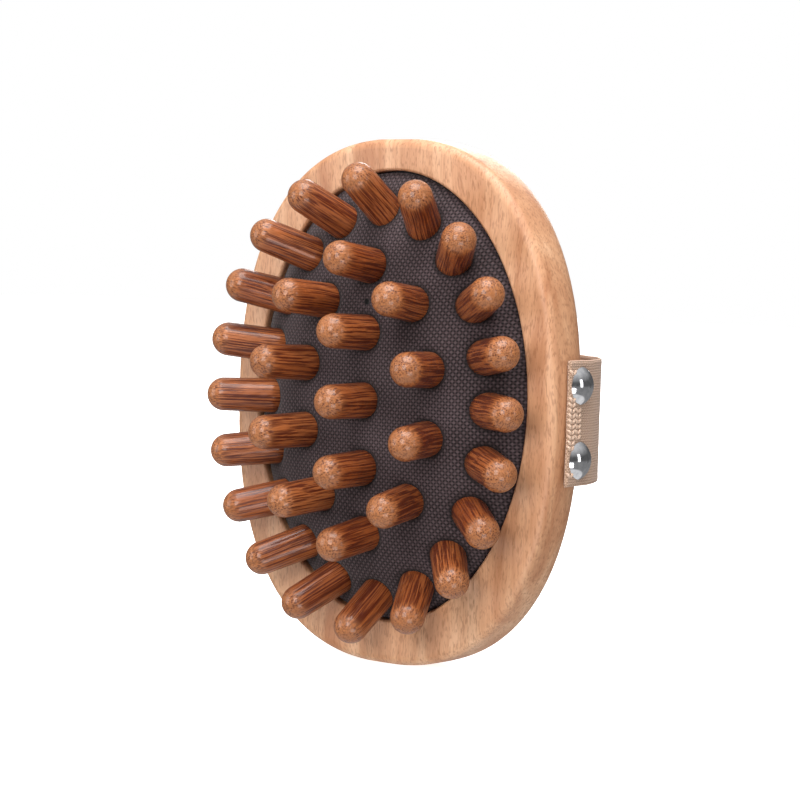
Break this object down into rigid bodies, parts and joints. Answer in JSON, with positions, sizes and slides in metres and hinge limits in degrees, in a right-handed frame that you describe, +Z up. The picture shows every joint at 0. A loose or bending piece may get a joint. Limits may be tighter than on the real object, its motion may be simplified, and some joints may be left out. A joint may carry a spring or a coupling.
{
  "type": "scalp massager brush",
  "caption": "Oval wooden hand brush for scalp and body massage: round-ended wooden pins that press into a domed, cloth-faced air cushion, and a webbing hand strap nailed to its sides.",
  "frame": {"origin": "centre of the flat palm face on the back of the wooden body", "axes": "+Z up the long axis, pins point to -Y, strap stands off at +Y, +X to the right seen from the pin side"},
  "size_m": [0.1062, 0.0697, 0.1296],
  "materials": {
    "beech": "fine-grained beech, sanded, satin oil",
    "pin_wood": "dark turned bamboo, glossy lacquer",
    "cushion_cloth": "plain weave, matt",
    "cushion_rubber": "matt",
    "webbing": "woven webbing, matt",
    "nail_chrome": "polished plate"
  },
  "bodies": {
    "brush_body": {"wooden_body": "beech", "cushion_cloth": "cushion_cloth", "cushion_rubber": "cushion_rubber", "hand_strap": "webbing", "nail_right_upper": "nail_chrome", "nail_right_lower": "nail_chrome", "nail_left_upper": "nail_chrome", "nail_left_lower": "nail_chrome"},
    "pin_01": {"pin_01": "pin_wood"},
    "pin_02": {"pin_02": "pin_wood"},
    "pin_03": {"pin_03": "pin_wood"},
    "pin_04": {"pin_04": "pin_wood"},
    "pin_05": {"pin_05": "pin_wood"},
    "pin_06": {"pin_06": "pin_wood"},
    "pin_07": {"pin_07": "pin_wood"},
    "pin_08": {"pin_08": "pin_wood"},
    "pin_09": {"pin_09": "pin_wood"},
    "pin_10": {"pin_10": "pin_wood"},
    "pin_11": {"pin_11": "pin_wood"},
    "pin_12": {"pin_12": "pin_wood"},
    "pin_13": {"pin_13": "pin_wood"},
    "pin_14": {"pin_14": "pin_wood"},
    "pin_15": {"pin_15": "pin_wood"},
    "pin_16": {"pin_16": "pin_wood"},
    "pin_17": {"pin_17": "pin_wood"},
    "pin_18": {"pin_18": "pin_wood"},
    "pin_19": {"pin_19": "pin_wood"},
    "pin_20": {"pin_20": "pin_wood"},
    "pin_21": {"pin_21": "pin_wood"},
    "pin_22": {"pin_22": "pin_wood"},
    "pin_23": {"pin_23": "pin_wood"},
    "pin_24": {"pin_24": "pin_wood"},
    "pin_25": {"pin_25": "pin_wood"},
    "pin_26": {"pin_26": "pin_wood"},
    "pin_27": {"pin_27": "pin_wood"},
    "pin_28": {"pin_28": "pin_wood"},
    "pin_29": {"pin_29": "pin_wood"},
    "pin_30": {"pin_30": "pin_wood"},
    "pin_31": {"pin_31": "pin_wood"},
    "pin_32": {"pin_32": "pin_wood"},
    "pin_33": {"pin_33": "pin_wood"}
  },
  "joints": [
    {"name": "pin_01_press", "type": "slide", "parent": "brush_body", "child": "pin_01", "axis": [0, 0.8384, -0.545], "range_m": [0, 0.003], "stiffness_N_per_m": 500},
    {"name": "pin_02_press", "type": "slide", "parent": "brush_body", "child": "pin_02", "axis": [-0.3763, 0.7927, -0.4796], "range_m": [0, 0.003], "stiffness_N_per_m": 500},
    {"name": "pin_03_press", "type": "slide", "parent": "brush_body", "child": "pin_03", "axis": [-0.6051, 0.7141, -0.352], "range_m": [0, 0.003], "stiffness_N_per_m": 500},
    {"name": "pin_04_press", "type": "slide", "parent": "brush_body", "child": "pin_04", "axis": [-0.7223, 0.6542, -0.2244], "range_m": [0, 0.003], "stiffness_N_per_m": 500},
    {"name": "pin_05_press", "type": "slide", "parent": "brush_body", "child": "pin_05", "axis": [-0.7767, 0.6205, -0.1089], "range_m": [0, 0.003], "stiffness_N_per_m": 500},
    {"name": "pin_06_press", "type": "slide", "parent": "brush_body", "child": "pin_06", "axis": [-0.7926, 0.6097, -0.0012], "range_m": [0, 0.003], "stiffness_N_per_m": 500},
    {"name": "pin_07_press", "type": "slide", "parent": "brush_body", "child": "pin_07", "axis": [-0.777, 0.6202, 0.1076], "range_m": [0, 0.003], "stiffness_N_per_m": 500},
    {"name": "pin_08_press", "type": "slide", "parent": "brush_body", "child": "pin_08", "axis": [-0.7231, 0.6537, 0.2231], "range_m": [0, 0.003], "stiffness_N_per_m": 500},
    {"name": "pin_09_press", "type": "slide", "parent": "brush_body", "child": "pin_09", "axis": [-0.6067, 0.7134, 0.3507], "range_m": [0, 0.003], "stiffness_N_per_m": 500},
    {"name": "pin_10_press", "type": "slide", "parent": "brush_body", "child": "pin_10", "axis": [-0.379, 0.792, 0.4786], "range_m": [0, 0.003], "stiffness_N_per_m": 500},
    {"name": "pin_11_press", "type": "slide", "parent": "brush_body", "child": "pin_11", "axis": [-0.0034, 0.8384, 0.545], "range_m": [0, 0.003], "stiffness_N_per_m": 500},
    {"name": "pin_12_press", "type": "slide", "parent": "brush_body", "child": "pin_12", "axis": [0.3763, 0.7927, 0.4796], "range_m": [0, 0.003], "stiffness_N_per_m": 500},
    {"name": "pin_13_press", "type": "slide", "parent": "brush_body", "child": "pin_13", "axis": [0.6051, 0.7141, 0.352], "range_m": [0, 0.003], "stiffness_N_per_m": 500},
    {"name": "pin_14_press", "type": "slide", "parent": "brush_body", "child": "pin_14", "axis": [0.7223, 0.6542, 0.2244], "range_m": [0, 0.003], "stiffness_N_per_m": 500},
    {"name": "pin_15_press", "type": "slide", "parent": "brush_body", "child": "pin_15", "axis": [0.7767, 0.6205, 0.1089], "range_m": [0, 0.003], "stiffness_N_per_m": 500},
    {"name": "pin_16_press", "type": "slide", "parent": "brush_body", "child": "pin_16", "axis": [0.7926, 0.6097, 0], "range_m": [0, 0.003], "stiffness_N_per_m": 500},
    {"name": "pin_17_press", "type": "slide", "parent": "brush_body", "child": "pin_17", "axis": [0.777, 0.6202, -0.1076], "range_m": [0, 0.003], "stiffness_N_per_m": 500},
    {"name": "pin_18_press", "type": "slide", "parent": "brush_body", "child": "pin_18", "axis": [0.7231, 0.6537, -0.2231], "range_m": [0, 0.003], "stiffness_N_per_m": 500},
    {"name": "pin_19_press", "type": "slide", "parent": "brush_body", "child": "pin_19", "axis": [0.6067, 0.7134, -0.3507], "range_m": [0, 0.003], "stiffness_N_per_m": 500},
    {"name": "pin_20_press", "type": "slide", "parent": "brush_body", "child": "pin_20", "axis": [0.379, 0.792, -0.4786], "range_m": [0, 0.003], "stiffness_N_per_m": 500},
    {"name": "pin_21_press", "type": "slide", "parent": "brush_body", "child": "pin_21", "axis": [0, 0.9903, -0.1386], "range_m": [0, 0.003], "stiffness_N_per_m": 500},
    {"name": "pin_22_press", "type": "slide", "parent": "brush_body", "child": "pin_22", "axis": [-0.1678, 0.9807, -0.1001], "range_m": [0, 0.003], "stiffness_N_per_m": 500},
    {"name": "pin_23_press", "type": "slide", "parent": "brush_body", "child": "pin_23", "axis": [-0.2348, 0.9714, -0.0346], "range_m": [0, 0.003], "stiffness_N_per_m": 500},
    {"name": "pin_24_press", "type": "slide", "parent": "brush_body", "child": "pin_24", "axis": [-0.235, 0.9714, 0.0342], "range_m": [0, 0.003], "stiffness_N_per_m": 500},
    {"name": "pin_25_press", "type": "slide", "parent": "brush_body", "child": "pin_25", "axis": [-0.1684, 0.9807, 0.0998], "range_m": [0, 0.003], "stiffness_N_per_m": 500},
    {"name": "pin_26_press", "type": "slide", "parent": "brush_body", "child": "pin_26", "axis": [0, 0.9903, 0.1386], "range_m": [0, 0.003], "stiffness_N_per_m": 500},
    {"name": "pin_27_press", "type": "slide", "parent": "brush_body", "child": "pin_27", "axis": [0.1678, 0.9807, 0.1001], "range_m": [0, 0.003], "stiffness_N_per_m": 500},
    {"name": "pin_28_press", "type": "slide", "parent": "brush_body", "child": "pin_28", "axis": [0.2348, 0.9714, 0.0346], "range_m": [0, 0.003], "stiffness_N_per_m": 500},
    {"name": "pin_29_press", "type": "slide", "parent": "brush_body", "child": "pin_29", "axis": [0.235, 0.9714, -0.0342], "range_m": [0, 0.003], "stiffness_N_per_m": 500},
    {"name": "pin_30_press", "type": "slide", "parent": "brush_body", "child": "pin_30", "axis": [0.1684, 0.9807, -0.0998], "range_m": [0, 0.003], "stiffness_N_per_m": 500},
    {"name": "pin_31_press", "type": "slide", "parent": "brush_body", "child": "pin_31", "axis": [0, 0.9992, -0.04], "range_m": [0, 0.003], "stiffness_N_per_m": 500},
    {"name": "pin_32_press", "type": "slide", "parent": "brush_body", "child": "pin_32", "axis": [0, 1, 0], "range_m": [0, 0.003], "stiffness_N_per_m": 500},
    {"name": "pin_33_press", "type": "slide", "parent": "brush_body", "child": "pin_33", "axis": [0, 0.9992, 0.04], "range_m": [0, 0.003], "stiffness_N_per_m": 500}
  ]
}
